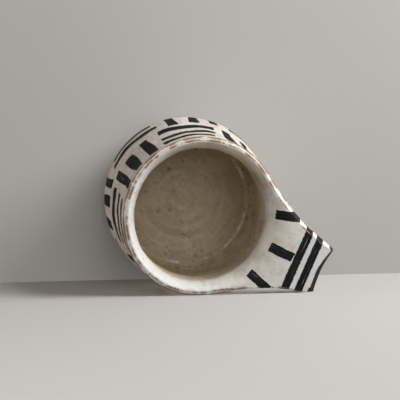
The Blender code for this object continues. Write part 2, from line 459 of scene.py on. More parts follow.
def swept(name, loops):
    """Closed loops, columns by points by 3, joined one to the next, with a cap on the first and the last."""
    columns, count = loops.shape[:2]
    faces = []
    for column in range(columns - 1):
        for i in range(count):
            here = column * count
            after = (i + 1) % count
            faces.append((here + i, here + after, here + count + after, here + count + i))
    faces.append(tuple(range(count)))
    faces.append(tuple(range((columns - 1) * count, columns * count)))
    return new_piece(name, loops.reshape(-1, 3), faces)


def put_attributes(mesh, **values):
    """Gives the vertices named values, each one number for all of them or one for each."""
    for name, value in values.items():
        layer = mesh.attributes.get(name) or mesh.attributes.new(name, "FLOAT", "POINT")
        spread = np.broadcast_to(np.asarray(value, np.float32).ravel(), len(mesh.vertices))
        layer.data.foreach_set("value", np.ascontiguousarray(spread))


def positions(mesh):
    flat = np.empty(len(mesh.vertices) * 3, np.float32)
    mesh.vertices.foreach_get("co", flat)
    return flat.reshape(-1, 3).astype(float)


def finish_group(nodes, geometry, finish):
    real = nodes.add("GeometryNodeRealizeInstances", {"Geometry": geometry}).outputs[0]
    painted = nodes.add("GeometryNodeSetMaterial", {"Geometry": real, "Material": finish}).outputs[0]
    nodes.give({"Geometry": painted})


STEPS_ROUND = 320
MERGED = 1e-6  # points closer than this become one


def spun_profile():
    """Spins a row of profile points round Z: a grid with a row for each point and columns that go round."""
    takes = {"Profile": "Object", "Steps Round": "Int", "Finish": "Material"}
    nodes, given = new_group("spun_profile", "GeometryNodeTree", takes, {"Geometry": "Geometry"})
    profile = nodes.add("GeometryNodeObjectInfo", {"Object": given["Profile"]}).outputs["Geometry"]
    rows = nodes.add("GeometryNodeAttributeDomainSize", {0: profile}).outputs[0]
    columns = nodes.plus(given["Steps Round"], 1.0)
    inputs = {"Size X": 1.0, "Size Y": 1.0, "Vertices X": columns, "Vertices Y": rows}
    grid = nodes.add("GeometryNodeMeshGrid", inputs).outputs["Mesh"]
    place = nodes.add("GeometryNodeInputPosition").outputs[0]
    across, up, _ = nodes.parts(place)
    turn = nodes.times(nodes.plus(across, 0.5), math.tau)
    row = nodes.calc("ROUND", nodes.times(nodes.plus(up, 0.5), nodes.minus(rows, 1.0)))
    inputs = {"Geometry": profile, "Value": place, "Index": row}
    point = nodes.add("GeometryNodeSampleIndex", inputs, data_type="FLOAT_VECTOR").outputs[0]
    radius, _, height = nodes.parts(point)
    x = nodes.times(radius, nodes.calc("COSINE", turn))
    y = nodes.times(radius, nodes.calc("SINE", turn))
    inputs = {"Geometry": grid, "Position": nodes.joined(x, y, height)}
    shaped = nodes.add("GeometryNodeSetPosition", inputs).outputs[0]
    closed = nodes.add("GeometryNodeMergeByDistance", {"Geometry": shaped, "Distance": MERGED}).outputs[0]
    finish_group(nodes, closed, given["Finish"])
    return nodes.tree


HAND_INPUTS = (
    "Height", "Belly Height", "Band Bottom", "Rim Radius", "Oval", "Rim Bearing", "Belly Bearing",
    "Lean", "Lean Bearing", "Ring Depth", "Ring Pitch", "Lip Wave", "Lump",
)
RING_FADE = 0.012  # height under the lip over which the finger rings come up
LIP_WAVES, LIP_WAVE_START = 3.0, 0.7
LUMP_SCALE = 55.0
LUMP_RISE = 0.012  # height above the foot over which the lumps come up, so that the foot stays flat


def hand_shape():
    """Moves a piece as a potter's hand leaves it: oval, leaning, lumpy and ringed, with a wavy lip."""
    takes = {"Geometry": "Geometry", **dict.fromkeys(HAND_INPUTS, "Float"), "Finish": "Material"}
    nodes, given = new_group("hand_shape", "GeometryNodeTree", takes, {"Geometry": "Geometry"})
    place = nodes.add("GeometryNodeInputPosition").outputs[0]
    x, y, z = nodes.parts(place)
    turn = nodes.calc("ARCTAN2", y, x)
    reach = nodes.calc("SQRT", nodes.plus(nodes.times(x, x), nodes.times(y, y)))
    near = nodes.calc("MINIMUM", nodes.calc("DIVIDE", reach, given["Rim Radius"]), 1.0)
    belly = nodes.span(z, given["Height"], given["Belly Height"])

    # The oval, whose long way turns from the rim to the belly
    swing = nodes.minus(given["Belly Bearing"], given["Rim Bearing"])
    bearing = nodes.scaled(swing, belly, given["Rim Bearing"])
    wave = nodes.calc("COSINE", nodes.times(nodes.minus(turn, bearing), 2.0))
    swell = nodes.times(wave, near, given["Oval"])

    # The finger rings, which climb like a screw
    phase = nodes.plus(nodes.times(nodes.calc("DIVIDE", z, given["Ring Pitch"]), math.tau), turn)
    rings = nodes.times(nodes.calc("SINE", phase), given["Ring Depth"])
    full = nodes.minus(given["Band Bottom"], RING_FADE)
    fade = nodes.times(nodes.span(z, given["Band Bottom"], full), near)
    grow = nodes.scaled(rings, fade, swell)

    # The lean of the belly and the wave of the lip
    lean = nodes.times(belly, nodes.span(z, 0.0, given["Belly Height"]), given["Lean"])
    moves = []
    for part in ("COSINE", "SINE"):
        leaning = nodes.times(lean, nodes.calc(part, given["Lean Bearing"]))
        moves.append(nodes.scaled(grow, nodes.calc(part, turn), leaning))
    ripple = nodes.calc("SINE", nodes.scaled(turn, LIP_WAVES, LIP_WAVE_START))
    moves.append(nodes.times(ripple, nodes.span(z, given["Band Bottom"], given["Height"]), given["Lip Wave"]))

    # The lumps of the clay
    lumps = nodes.noise(place, LUMP_SCALE, 3.0, output="Color")
    lumps = nodes.vector("SUBTRACT", lumps, (0.5, 0.5, 0.5))
    lumps = nodes.stretched(lumps, nodes.times(nodes.span(z, 0.0, LUMP_RISE), given["Lump"]))
    inputs = {"Geometry": given["Geometry"], "Offset": nodes.vector("ADD", nodes.joined(*moves), lumps)}
    moved = nodes.add("GeometryNodeSetPosition", inputs).outputs[0]
    finish_group(nodes, moved, given["Finish"])
    return nodes.tree


def add_tree(piece, make, values):
    """A Geometry Nodes modifier with its inputs set by identifier."""
    tree = shared(bpy.data.node_groups, make)
    modifier = piece.modifiers.new(tree.name, "NODES")
    modifier.node_group = tree
    for item in tree.interface.items_tree:
        if item.in_out == "INPUT" and item.name in values:
            modifier[item.identifier] = values[item.name]


SHARP = math.radians(50.0)


def settle(piece, finish):
    """Puts the hand's marks into the piece and makes it a plain mesh, with its true corners sharp."""
    sizes = bpy.context.scene.mug_sizes
    hand = bpy.context.scene.mug_hand
    values = {"Finish": finish}
    for name in HAND_INPUTS:
        key = name.lower().replace(" ", "_")
        values[name] = getattr(hand if hasattr(hand, key) else sizes, key)
    add_tree(piece, hand_shape, values)
    graph = bpy.context.evaluated_depsgraph_get()
    mesh = bpy.data.meshes.new_from_object(piece.evaluated_get(graph))
    piece.modifiers.clear()
    piece.data = mesh
    shape = bmesh.new()
    shape.from_mesh(mesh)
    bmesh.ops.remove_doubles(shape, verts=shape.verts, dist=MERGED)
    bmesh.ops.recalc_face_normals(shape, faces=shape.faces)
    shape.to_mesh(mesh)
    shape.free()
    mesh.shade_smooth()
    mesh.set_sharp_from_angle(angle=SHARP)


def spun(name, profile, finish):
    """A turned piece from its profile of (radius, height) rows."""
    guide = new_piece(name + "_profile", [(radius, 0.0, height) for radius, height in profile], [])
    piece = new_piece(name, [(0.0, 0.0, 0.0)], [])
    add_tree(piece, spun_profile, {"Profile": guide, "Steps Round": STEPS_ROUND, "Finish": finish})
    settle(piece, finish)
    bpy.data.objects.remove(guide, do_unlink=True)
    return piece


def hand_over(piece, slot, *nodes):
    """The piece stands for these solids, which are hidden. The slot is not used."""
    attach(piece, "root")
    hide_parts(*nodes)


# Brushwork, in millimetres

LANE_STEP = 9.0  # keeps the hair marks of one stroke apart from those of the next


class Strokes:
    """The strokes so far: how far each point lies inside the nearest, and its place along and across it."""

    def __init__(self, count):
        self.depth = np.full(count, -CLEAR)
        self.lane = np.zeros((count, 3))
        self.laid = 0

    def lay(self, depth, along, across):
        """One more stroke, wherever it is deeper than those before it."""
        self.laid += 1
        nearer = depth > self.depth
        self.depth[nearer] = depth[nearer]
        lane = np.c_[along, across, np.full(len(depth), LANE_STEP * self.laid)]
        self.lane[nearer] = lane[nearer]

    def bar(self, u, v, centre, half_length, half_width, lie):
        """A straight stroke, turned by lie."""
        du = u - centre[0]
        dv = v - centre[1]
        along = du * math.cos(lie) + dv * math.sin(lie)
        across = dv * math.cos(lie) - du * math.sin(lie)
        self.lay(np.minimum(half_length - np.abs(along), half_width - np.abs(across)), along, across)

    def put(self, mesh, shown=True):
        put_attributes(mesh, brush=np.where(shown, self.depth, -CLEAR))
        layer = mesh.attributes.get("lane") or mesh.attributes.new("lane", "FLOAT_VECTOR", "POINT")
        layer.data.foreach_set("vector", self.lane.astype(np.float32).ravel())


BLOCKS_ROUND, BLOCK_ROWS, BARS = 8, 2, 3
ROW_SHIFT = 0.18  # of a block, from one row to the next
PAINT_LOW, PAINT_HIGH = 8.0, 78.5
WRAP_RADIUS = 45.0
LEVEL_DROP = 2.0  # keeps the level bars off the lip, where the tab joins it
BAR_SPREAD = 3.1  # bars that a block would take side by side
BAR_REACH, REACH_VARY = 0.42, 0.03  # half length, of a block
BAR_HALF, HALF_VARY = 2.8, 0.4
SLIP_ACROSS, SLIP_ALONG, TILT = 0.6, 1.2, 0.07
SWAY = 0.55
# Waves in the strokes: share, waves round the cup, climb for each millimetre, start
SWAY_WAVES = ((1.0, 11.0, 0.11, 0.0), (0.6, 23.0, -0.19, 1.0))
BOW_WAVES = ((1.0, 9.0, -0.13, 2.0), (0.6, 19.0, 0.23, 0.0))


def waver(waves, turn, height):
    """How far the strokes sway at each point, in millimetres."""
    swayed = np.zeros(len(turn))
    for share, count, climb, start in waves:
        swayed += share * np.sin(turn * count + height * climb + start)
    return SWAY * swayed


def wall_brush(points):
    """Basket weave: blocks of upright and level bars by turns, each bar a little off true."""
    draw = np.random.default_rng(SEED)
    turn = np.arctan2(points[:, 1], points[:, 0])
    height = points[:, 2] / MM
    tall = (PAINT_HIGH - PAINT_LOW) / BLOCK_ROWS
    wide = math.tau * WRAP_RADIUS / BLOCKS_ROUND
    strokes = Strokes(len(points))
    sway = waver(SWAY_WAVES, turn, height)
    bow = waver(BOW_WAVES, turn, height)
    for row in range(BLOCK_ROWS):
        for column in range(BLOCKS_ROUND):
            middle = math.tau * (column + 0.5 + ROW_SHIFT * row) / BLOCKS_ROUND
            u = (np.mod(turn - middle + math.pi, math.tau) - math.pi) * WRAP_RADIUS + sway
            upright = (row + column) % 2 == 0
            lowered = 0.0 if upright else LEVEL_DROP
            v = height - (PAINT_LOW + tall * (row + 0.5) - lowered) + bow
            pitch = (wide if upright else tall - 2 * LEVEL_DROP) / BAR_SPREAD
            for i in range(BARS):
                slip_along, slip_across, tilt, fat, long = draw.uniform(-1.0, 1.0, 5)
                half_length = (tall if upright else wide) * (BAR_REACH + REACH_VARY * long)
                lane = (i - (BARS - 1) / 2) * pitch
                centre = (lane + SLIP_ACROSS * slip_across, SLIP_ALONG * slip_along)
                if not upright:
                    centre = centre[::-1]
                lie = (QUARTER if upright else 0.0) + TILT * tilt
                strokes.bar(u, v, centre, half_length, BAR_HALF + HALF_VARY * fat, lie)
    return strokes


RAYS = (-0.42, 0.0, 0.42)
RAY_FROM, RAY_TO = 40.5, 54.5
RAY_HALF, RAY_VARY = 2.7, 0.3
RAY_FAN, RAY_TILT = 0.8, 0.04
FINISH_SLIP = 0.8  # of the slip at the start of a ray
BANDS = (57.8, 65.0)
BAND_LENGTH = 30.0
BAND_HALF, BAND_VARY = 2.3, 0.2
BAND_TILT = 0.03


def tab_brush(points):
    """Rays from the cup outwards, and bands across the tab."""
    draw = np.random.default_rng(SEED + 1)
    x = -points[:, 0] / MM
    y = points[:, 1] / MM
    strokes = Strokes(len(points))
    for bearing in RAYS:
        slip, tilt, fat = draw.uniform(-1.0, 1.0, 3)
        start = RAY_FROM + slip
        finish = RAY_TO + FINISH_SLIP * slip
        reach = (start + finish) / 2
        centre = (reach * math.cos(bearing), reach * math.sin(bearing))
        lie = bearing * RAY_FAN + RAY_TILT * tilt
        strokes.bar(x, y, centre, (finish - start) / 2, RAY_HALF + RAY_VARY * fat, lie)
    for reach in BANDS:
        fat, tilt = draw.uniform(-1.0, 1.0, 2)
        lie = QUARTER + BAND_TILT * tilt
        strokes.bar(x, y, (reach, 0.0), BAND_LENGTH, BAND_HALF + BAND_VARY * fat, lie)
    return strokes


# Finishes

GROUND = ("Cloud", "Mottle", "Specks", "Grain", "Freckles", "Streaks", "Rings", "Pits")
MARKS = ("Wear", "Wear Core", "Brush", "Dry")
FRECKLE_WARP = (0.004, 0.003, 0.002)
HAIR_SCALE = (0.07, 1.3, 1.0)  # brush hairs along, across and from one stroke to the next
SLIP_RELIEF, LINING_RELIEF, CLAY_RELIEF = 0.00035, 0.0003, 0.0004


def fired_ground():
    """Clouds, mottle, grain, pits, specks, freckles, streaks and rings of fired slip, glaze or clay."""
    gives = dict.fromkeys(GROUND, "Float")
    nodes, given = new_group("fired_ground", "ShaderNodeTree", {"Speck Size": "Float"}, gives)
    place = nodes.place()
    cloud = nodes.noise(place, 70.0, 4.0)
    mottle = nodes.noise(place, 420.0, 5.0, 0.65)
    grain = nodes.noise(place, 2400.0, 3.0)
    pits = nodes.span(nodes.noise(place, 1100.0, 3.0, 0.7), 0.57, 0.72)

    # Specks are small and sharp, with few large ones. Freckles are larger, soft and ragged, and lie in crowds
    distance, chances = nodes.spots(place, 480.0)
    size = nodes.times(given["Speck Size"], nodes.calc("POWER", chances[0], 3.0))
    specks = nodes.calc("LESS_THAN", distance, size)
    warped = nodes.vector("ADD", place, nodes.vector("MULTIPLY", mottle, FRECKLE_WARP))
    distance, chances = nodes.spots(warped, 280.0)
    freckles = nodes.span(nodes.minus(nodes.span(chances[1], 0.20, 1.0, 0.0, 0.50), distance), 0.0, 0.30)
    freckles = nodes.times(freckles, nodes.span(nodes.noise(place, 42.0, 2.0), 0.42, 0.56))

    # Streaks run up the cup, and rings run round it
    x, y, z = nodes.parts(place)
    around = nodes.joined(x, y)
    climb = nodes.plus(nodes.reach(around), z)
    outward = nodes.vector("NORMALIZE", around)
    drawn = nodes.joined(z=nodes.times(climb, 40.0))
    streaks = nodes.noise(nodes.vector("ADD", nodes.stretched(outward, 9.0), drawn), 2.2, 5.0, 0.6)
    drawn = nodes.joined(z=nodes.times(climb, 260.0))
    rings = nodes.noise(nodes.vector("ADD", outward, drawn), 0.9, 4.0, 0.6)
    nodes.give(dict(zip(GROUND, (cloud, mottle, specks, grain, freckles, streaks, rings, pits))))
    return nodes.tree


def wear_and_brush():
    """Masks of the worn arrises and of the brushwork, from the distances that the piece carries."""
    nodes, _ = new_group("wear_and_brush", "ShaderNodeTree", {}, dict.fromkeys(MARKS, "Float"))
    place = nodes.place()
    patches = nodes.noise(place, 150.0, 4.0, 0.6)

    # Dabs along the inner arris and a broken line along the outer one, both ragged
    ragged = nodes.minus(nodes.noise(place, 900.0, 3.0), 0.5)
    dabs = nodes.plus(nodes.span(patches, 0.36, 0.58, -0.35, 0.68), ragged)
    line = nodes.plus(nodes.span(patches, 0.32, 0.60, 0.28, 1.35), ragged)
    dabs = nodes.minus(dabs, nodes.attribute("inner_arris"))
    line = nodes.minus(line, nodes.attribute("outer_arris"))
    worn = nodes.larger(dabs, line)

    # Strokes with rough edges, which the dry hairs of the brush leave bare here and there
    edge = nodes.minus(nodes.noise(place, 620.0, 4.0, 0.6), 0.5)
    painted = nodes.span(nodes.scaled(edge, 1.1, nodes.attribute("brush")), -0.10, 0.12)
    hairs = nodes.vector("MULTIPLY", nodes.attribute("lane", "Vector"), HAIR_SCALE)
    dry = nodes.noise(hairs, 1.0, 4.0, 0.6)
    bare = nodes.times(nodes.span(dry, 0.60, 0.74), nodes.span(patches, 0.45, 0.60))
    painted = nodes.times(painted, nodes.scaled(bare, -0.7, 1.0))
    wear = nodes.span(worn, -0.45, 0.25)
    core = nodes.span(worn, 0.10, 0.50)
    dry = nodes.span(dry, 0.42, 0.66)
    nodes.give(dict(zip(MARKS, (wear, core, painted, dry))))
    return nodes.tree


def blank_material(name):
    made = bpy.data.materials.new(name)
    made.use_nodes = True
    return made, Nodes(made.node_tree), made.node_tree.nodes["Principled BSDF"]


def dress(nodes, shader, base, rough, height, relief):
    """Links colour, roughness and a height, which counts as relief metres, to the shader."""
    inputs = {"Height": height, "Distance": relief, "Strength": 1.0}
    normal = nodes.add("ShaderNodeBump", inputs).outputs[0]
    for name, value in (("Base Color", base), ("Roughness", rough), ("Normal", normal)):
        nodes.tree.links.new(value, shader.inputs[name])


def brushed_slip():
    """White slip with brushed pigment and worn arrises, going over to the lining's glaze down in the cup, with
    painted shade on the wall, the tab's face near the cup and one side of the lip.
    """
    finish = bpy.context.scene.mug_finish
    made, nodes, shader = blank_material("brushed_slip")
    ground = nodes.group(fired_ground, {"Speck Size": 0.15})
    marks = nodes.group(wear_and_brush)
    rubbed = nodes.attribute("rubbed")

    # Slip that lies thin in clouds, and where it is rubbed also coarse, ringed and pitted; on the wall this
    # darker, warmer slip is partly painted shade
    thin = nodes.span(nodes.scaled(ground["Mottle"], 0.6, ground["Cloud"]), 0.76, 1.12)
    thinned_and_shaded = nodes.times(rubbed, nodes.span(ground["Cloud"], 0.30, 0.62, 0.25, 1.0))
    base = nodes.tint(nodes.larger(thin, thinned_and_shaded), finish.slip, finish.slip_cloud)
    coarse_and_shaded = nodes.times(nodes.span(ground["Mottle"], 0.44, 0.66), nodes.scaled(rubbed, 0.7, 0.15))
    base = nodes.tint(coarse_and_shaded, base, finish.slip_worn)
    base = nodes.tint(nodes.times(nodes.span(ground["Rings"], 0.47, 0.70), rubbed), base, finish.slip_cloud)
    base = nodes.tint(nodes.times(ground["Pits"], nodes.scaled(rubbed, 0.6, 0.22)), base, finish.wear_pale)

    # Lining glaze down in the cup and on the lip, with painted shade on the tab's face near the cup and on the
    # lip's shaded side; then iron specks, worn arrises and the pigment, which wears off with them
    lining = nodes.tint(nodes.span(ground["Cloud"], 0.35, 0.7), finish.lining, finish.lining_cloud)
    base = nodes.tint(nodes.attribute("deep"), base, lining)
    base = nodes.tint(nodes.times(ground["Specks"], 0.75), base, finish.speck)
    worn = nodes.tint(marks["Wear Core"], finish.wear_pale, finish.wear)
    base = nodes.tint(nodes.times(marks["Wear"], 0.9), base, worn)
    # The pigment's faint blue cast is a painted sky reflection
    ink_with_sheen = nodes.tint(marks["Dry"], finish.pigment, finish.pigment_thin)
    painted = nodes.times(marks["Brush"], nodes.span(marks["Wear Core"], 1.0, 0.2))
    base = nodes.tint(painted, base, ink_with_sheen)

    rough = nodes.scaled(ground["Mottle"], 0.22, 0.45)
    rough = nodes.scaled(marks["Wear"], 0.15, rough)
    rough = nodes.scaled(painted, -0.08, rough)
    lumpy = nodes.scaled(ground["Cloud"], 3.5, ground["Mottle"])
    lumpy = nodes.times(lumpy, nodes.scaled(rubbed, 0.55, 0.60))
    height = nodes.scaled(ground["Grain"], 0.10, lumpy)
    height = nodes.scaled(ground["Pits"], -0.20, height)
    height = nodes.scaled(painted, 0.18, height)
    height = nodes.scaled(marks["Wear"], -0.25, height)
    dress(nodes, shader, base, rough, height, SLIP_RELIEF)
    shader.inputs["Specular IOR Level"].default_value = 0.11
    return made


FLOOR_SHADE_LOW, FLOOR_SHADE_HIGH = 0.010, 0.026  # heights between which the darker floor, painted shade, goes over to the lining of the wall
CLOUDS_HIGH = 0.030  # and where its clouds have thinned


def beige_lining():
    """Beige glaze, darker on the floor as painted shade, with clouds, a painted highlight on the ridge, faint
    rings, freckles and iron specks.
    """
    finish = bpy.context.scene.mug_finish
    made, nodes, shader = blank_material("beige_lining")
    ground = nodes.group(fired_ground, {"Speck Size": 0.17})
    high = nodes.parts(nodes.place())[2]
    # Painted shade: darker on the floor, going over to the lining's own colour up the wall
    base = nodes.tint(nodes.span(high, FLOOR_SHADE_LOW, FLOOR_SHADE_HIGH), finish.lining_pool, finish.lining)
    thick = nodes.scaled(ground["Streaks"], 0.35, ground["Cloud"])
    thick = nodes.span(nodes.scaled(ground["Mottle"], 0.9, thick), 0.95, 1.27)
    thick = nodes.times(thick, nodes.span(high, FLOOR_SHADE_LOW, CLOUDS_HIGH, 1.0, 0.55))
    base = nodes.tint(thick, base, finish.lining_cloud)
    # Painted highlight: pale broken arcs along the ridge where floor and wall were joined
    broken_highlight = nodes.span(nodes.scaled(ground["Mottle"], 0.5, ground["Cloud"]), 0.70, 0.88)
    base = nodes.tint(nodes.times(nodes.attribute("ridge"), broken_highlight), base, finish.slip)
    base = nodes.tint(nodes.span(ground["Rings"], 0.48, 0.72, 0.0, 0.30), base, finish.slip_cloud)
    base = nodes.tint(nodes.times(ground["Pits"], 0.70), base, finish.lining_cloud)

    # Slip at the lip, then the marks that lie over both
    thin = nodes.span(nodes.scaled(ground["Mottle"], 0.6, ground["Cloud"]), 0.70, 1.05)
    slip = nodes.tint(thin, finish.slip, finish.slip_cloud)
    base = nodes.tint(nodes.attribute("deep"), slip, base)
    base = nodes.tint(nodes.times(ground["Freckles"], 0.60), base, finish.clay_dark)
    base = nodes.tint(nodes.times(ground["Specks"], 0.55), base, finish.speck)
    rough = nodes.scaled(ground["Mottle"], 0.25, 0.33)
    height = nodes.scaled(ground["Grain"], 0.08, nodes.times(ground["Mottle"], 0.5))
    dress(nodes, shader, base, rough, height, LINING_RELIEF)
    return made


def bare_stoneware_skin():
    """Bare stoneware with grog and a scorched bloom."""
    finish = bpy.context.scene.mug_finish
    made, nodes, shader = blank_material("bare_stoneware_skin")
    ground = nodes.group(fired_ground, {"Speck Size": 0.30})
    base = nodes.tint(nodes.span(ground["Cloud"], 0.35, 0.65), finish.clay, finish.clay_dark)
    base = nodes.tint(nodes.times(ground["Specks"], 0.6), base, finish.speck)
    rough = nodes.scaled(ground["Grain"], 0.2, 0.72)
    height = nodes.scaled(ground["Grain"], 0.5, ground["Mottle"])
    dress(nodes, shader, base, rough, height, CLAY_RELIEF)
    return made


def finish_of(make):
    return shared(bpy.data.materials, make)


# Where glaze has run and slip is rubbed, and where painted shade lies on the lip, the tab's face and the wall

# The lip's beige is partly lining glaze and partly painted shade, most on the side away from the key lamp
LIP_STAIN_AND_SHADE, STAIN_AND_SHADE_BEARING = 0.75, math.radians(255.0)
STAIN_AND_SHADE_SPREAD = 0.25  # more of it goes further round
STAIN_AND_SHADE_RISE = 0.001  # drop from the face over which the stain and painted shade on the lip come up
TAB_ROOT_SHADE, TAB_ROOT_SHADE_END, TAB_ROOT_SHADE_POWER = 0.50, 70.0, 1.5  # painted shade, beige on the tab's face near the cup, and the radius where it ends
DEEP_FROM, DEEP_TO = 1.0, 12.0  # millimetres under the rim over which slip goes over to lining glaze
RUBBED_AND_SHADED = 0.65  # how far the slip on the wall is rubbed thin and darkened, partly as painted shade


def lip_stain(sizes, points):
    """Share of lining glaze on the lip, with painted shade, most at the one bearing that lies in shade, and
    how far it shows, not at all on the face.
    """
    turn = np.arctan2(points[..., 1], points[..., 0]) - STAIN_AND_SHADE_BEARING
    drop = sizes.height - points[..., 2]
    return LIP_STAIN_AND_SHADE * np.clip(STAIN_AND_SHADE_SPREAD + np.cos(turn), 0.0, 1.0), ramp(drop, 0.0, STAIN_AND_SHADE_RISE)


def deepness(sizes, height):
    """How far down in the cup a point is, from 0 at the lip to 1 in the lining."""
    return eased((sizes.height - height) / MM, DEEP_FROM, DEEP_TO)


def rubbed_share(sizes, drop):
    """How far the slip is rubbed thin and darkened outside, partly as painted shade: nothing at the lip's
    edge, RUBBED_AND_SHADED on the wall.
    """
    return RUBBED_AND_SHADED * eased(drop, sizes.edge_chamfer, sizes.height - sizes.band_bottom)


# Operators, one for each piece

FINE_STEP = 0.0007  # between points on a face that shows
HIDDEN_STEP = 0.005  # and on one that doesn't
HIDDEN_SHARE = 0.47  # of the wall's thickness, from a face to the back of its piece
COAT_ROUND, COAT_ROWS = 0.00025, 12  # the coat's lower edge, and the points of the outline that it takes up


class MUG_OT_coated_wall(bpy.types.Operator):
    """Spin the slip-coated wall and brush its weave of bars"""

    bl_idname = "mug.coated_wall"
    bl_label = "Coated Wall"

    def execute(self, context):
        sizes = context.scene.mug_sizes
        whole = outside(sizes, sizes.glaze_line)
        face = below(whole, sizes.band_bottom)
        back = below(offset(whole, -sizes.wall * HIDDEN_SHARE), sizes.band_bottom)
        top = np.array([np.interp(sizes.band_bottom, *outside(sizes).T[::-1]), sizes.band_bottom])
        edge = [back[0], offset(face, -sizes.coat)[0], face[0], face[COAT_ROWS]]
        edge = rounded(edge, COAT_ROUND)[1:-1]
        front = spaced(np.vstack([edge, face[COAT_ROWS + 1:], [top]]), FINE_STEP)
        back = spaced(back, HIDDEN_STEP)
        profile = np.vstack([front, [[back[-1, 0], sizes.band_bottom]], back[::-1], front[:1]])
        piece = spun("coated_wall", profile, finish_of(brushed_slip))
        wall_brush(positions(piece.data)).put(piece.data)
        # The wall's slip is rubbed and darkened, partly as painted shade
        put_attributes(piece.data, inner_arris=CLEAR, outer_arris=CLEAR, deep=0.0, rubbed=RUBBED_AND_SHADED)
        hand_over(piece, "white_slip", "slip_coat", "cup_wall")
        return {"FINISHED"}


RIDGE_RADIUS, RIDGE_HALF, RIDGE_RISE = 0.0365, 0.00075, 0.0003  # where floor and wall were joined inside
FLOOR_ROWS = 40
FLOOR_RING_PITCH, FLOOR_RING_START, FLOOR_RING_DEPTH = 0.0062, 0.6, 0.00012
FLOOR_RING_FROM, FLOOR_RING_FULL = 0.001, 0.005


def ridge_share(radius):
    return np.exp(-(((radius - RIDGE_RADIUS) / RIDGE_HALF) ** 2))


class MUG_OT_glazed_lining(bpy.types.Operator):
    """Spin the lining, with its round corner and the rings on its floor"""

    bl_idname = "mug.glazed_lining"
    bl_label = "Glazed Lining"

    def execute(self, context):
        sizes = context.scene.mug_sizes
        face = below(inside(sizes), sizes.band_bottom)
        flat = np.linspace(0.0, face[0, 0], FLOOR_ROWS)[:-1]
        floor = np.c_[flat, np.full(len(flat), sizes.floor_height)]
        throat = np.array([sizes.rim_radius - sizes.wall, sizes.band_bottom])
        front = spaced(np.vstack([floor, face, [throat]]), FINE_STEP)
        radius, height = front.T
        ripple = FLOOR_RING_DEPTH * np.sin(radius / FLOOR_RING_PITCH * math.tau + FLOOR_RING_START)
        ripple *= ramp(radius, FLOOR_RING_FROM, FLOOR_RING_FULL) * (height < sizes.belly_height)
        front = np.c_[radius, height + ripple]
        front = offset(front, -RIDGE_RISE * ridge_share(front[:, :1]))
        under = sizes.floor_height - sizes.coat
        back = below(offset(inside(sizes), sizes.wall * HIDDEN_SHARE), sizes.band_bottom)
        back = spaced(back[back[:, 1] > under], HIDDEN_STEP)
        low = [[back[0, 0], under], [0.0, under]]
        profile = np.vstack([front, [[back[-1, 0], sizes.band_bottom]], back[::-1], low])
        piece = spun("glazed_lining", profile, finish_of(beige_lining))
        points = positions(piece.data)
        # Where the painted highlight lies: along the ridge at the floor's corner
        ridge = ridge_share(np.linalg.norm(points[:, :2], axis=1)) * (points[:, 2] < sizes.belly_height)
        put_attributes(piece.data, deep=deepness(sizes, points[:, 2]), ridge=ridge)
        hand_over(piece, "liner_glaze", "liner_glaze", "floor_corner_coil")
        return {"FINISHED"}


LIP_ROWS, LIP_COLUMNS = 16, 260
LIP_SIDE = 0.6  # share of the slant's drop under which the lip's edge counts as its outer side
SIDE_SPARED = 2.5  # how much less the lip's upright side is worn than its slanted edge


def arris_distances(sizes, section):
    """Millimetres from each point of a lip section to its upper and to its lower arris."""
    slant = sizes.edge_chamfer
    upper = np.array([sizes.rim_radius - slant, sizes.height])
    lower = np.array([sizes.rim_radius, sizes.height - slant])
    to_upper, to_lower = [np.linalg.norm(section - corner, axis=1) / MM for corner in (upper, lower)]
    return to_upper, to_lower * np.where(section[:, 1] < lower[1], SIDE_SPARED, 1.0)


class MUG_OT_rolled_lip(bpy.types.Operator):
    """Sweep the rolled lip from one root of the tab round to the other"""

    bl_idname = "mug.rolled_lip"
    bl_label = "Rolled Lip"

    def execute(self, context):
        sizes = context.scene.mug_sizes
        root = root_angle(sizes)
        rolled = np.c_[roll(sizes, root, np.linspace(QUARTER, 0.0, LIP_ROWS))]
        edge = slanted(sizes, sizes.edge_chamfer, sizes.height - sizes.band_bottom)
        inset, drop = spaced_corners(edge, EDGE_STEP).T
        section = np.vstack([rolled, np.c_[sizes.rim_radius - inset, sizes.height - drop]])
        bearing = np.linspace(root, math.tau - root, LIP_COLUMNS)
        loops = np.empty((LIP_COLUMNS, len(section), 3))
        loops[:, :, :2] = around_tab(bearing)[:, None, :] * section[None, :, :1]
        loops[:, :, 2] = section[None, :, 1]
        piece = swept("rolled_lip", loops)
        inner, outer = [np.tile(away, LIP_COLUMNS) for away in arris_distances(sizes, section)]
        side = np.r_[np.full(LIP_ROWS, False), drop > sizes.edge_chamfer * LIP_SIDE]
        # Lining glaze and painted shade on the lip's inner edge
        stain_and_shade, low = lip_stain(sizes, loops)
        deep = np.maximum(deepness(sizes, loops[:, :, 2]), stain_and_shade * low) * ~side
        rubbed = rubbed_share(sizes, sizes.height - loops[:, :, 2]) * side
        put_attributes(piece.data, inner_arris=inner, outer_arris=outer, deep=deep, rubbed=rubbed)
        put_attributes(piece.data, outer=np.tile(side, LIP_COLUMNS))
        settle(piece, finish_of(brushed_slip))
        side = np.array([item.value for item in piece.data.attributes["outer"].data])
        wall_brush(positions(piece.data)).put(piece.data, side > 0.5)
        hand_over(piece, "white_slip", "lip_coil")
        return {"FINISHED"}


ROLL_ROWS, FACE_ROWS, UNDER_ROWS = 20, 46, 20
UNDER_ROUND, UNDER_ROUND_ROWS = 0.0012, 7  # on the tab's lower edge
EDGE_PARTS = 4  # rows of the tab's edge for each of its points
# Width of the tab's slanted edge against the lip's: on its two flanks, and at the two corners of its end
BEVEL_UP, BEVEL_DOWN = 1.25, 0.40
END_UP, END_DOWN = 0.85, 1.90
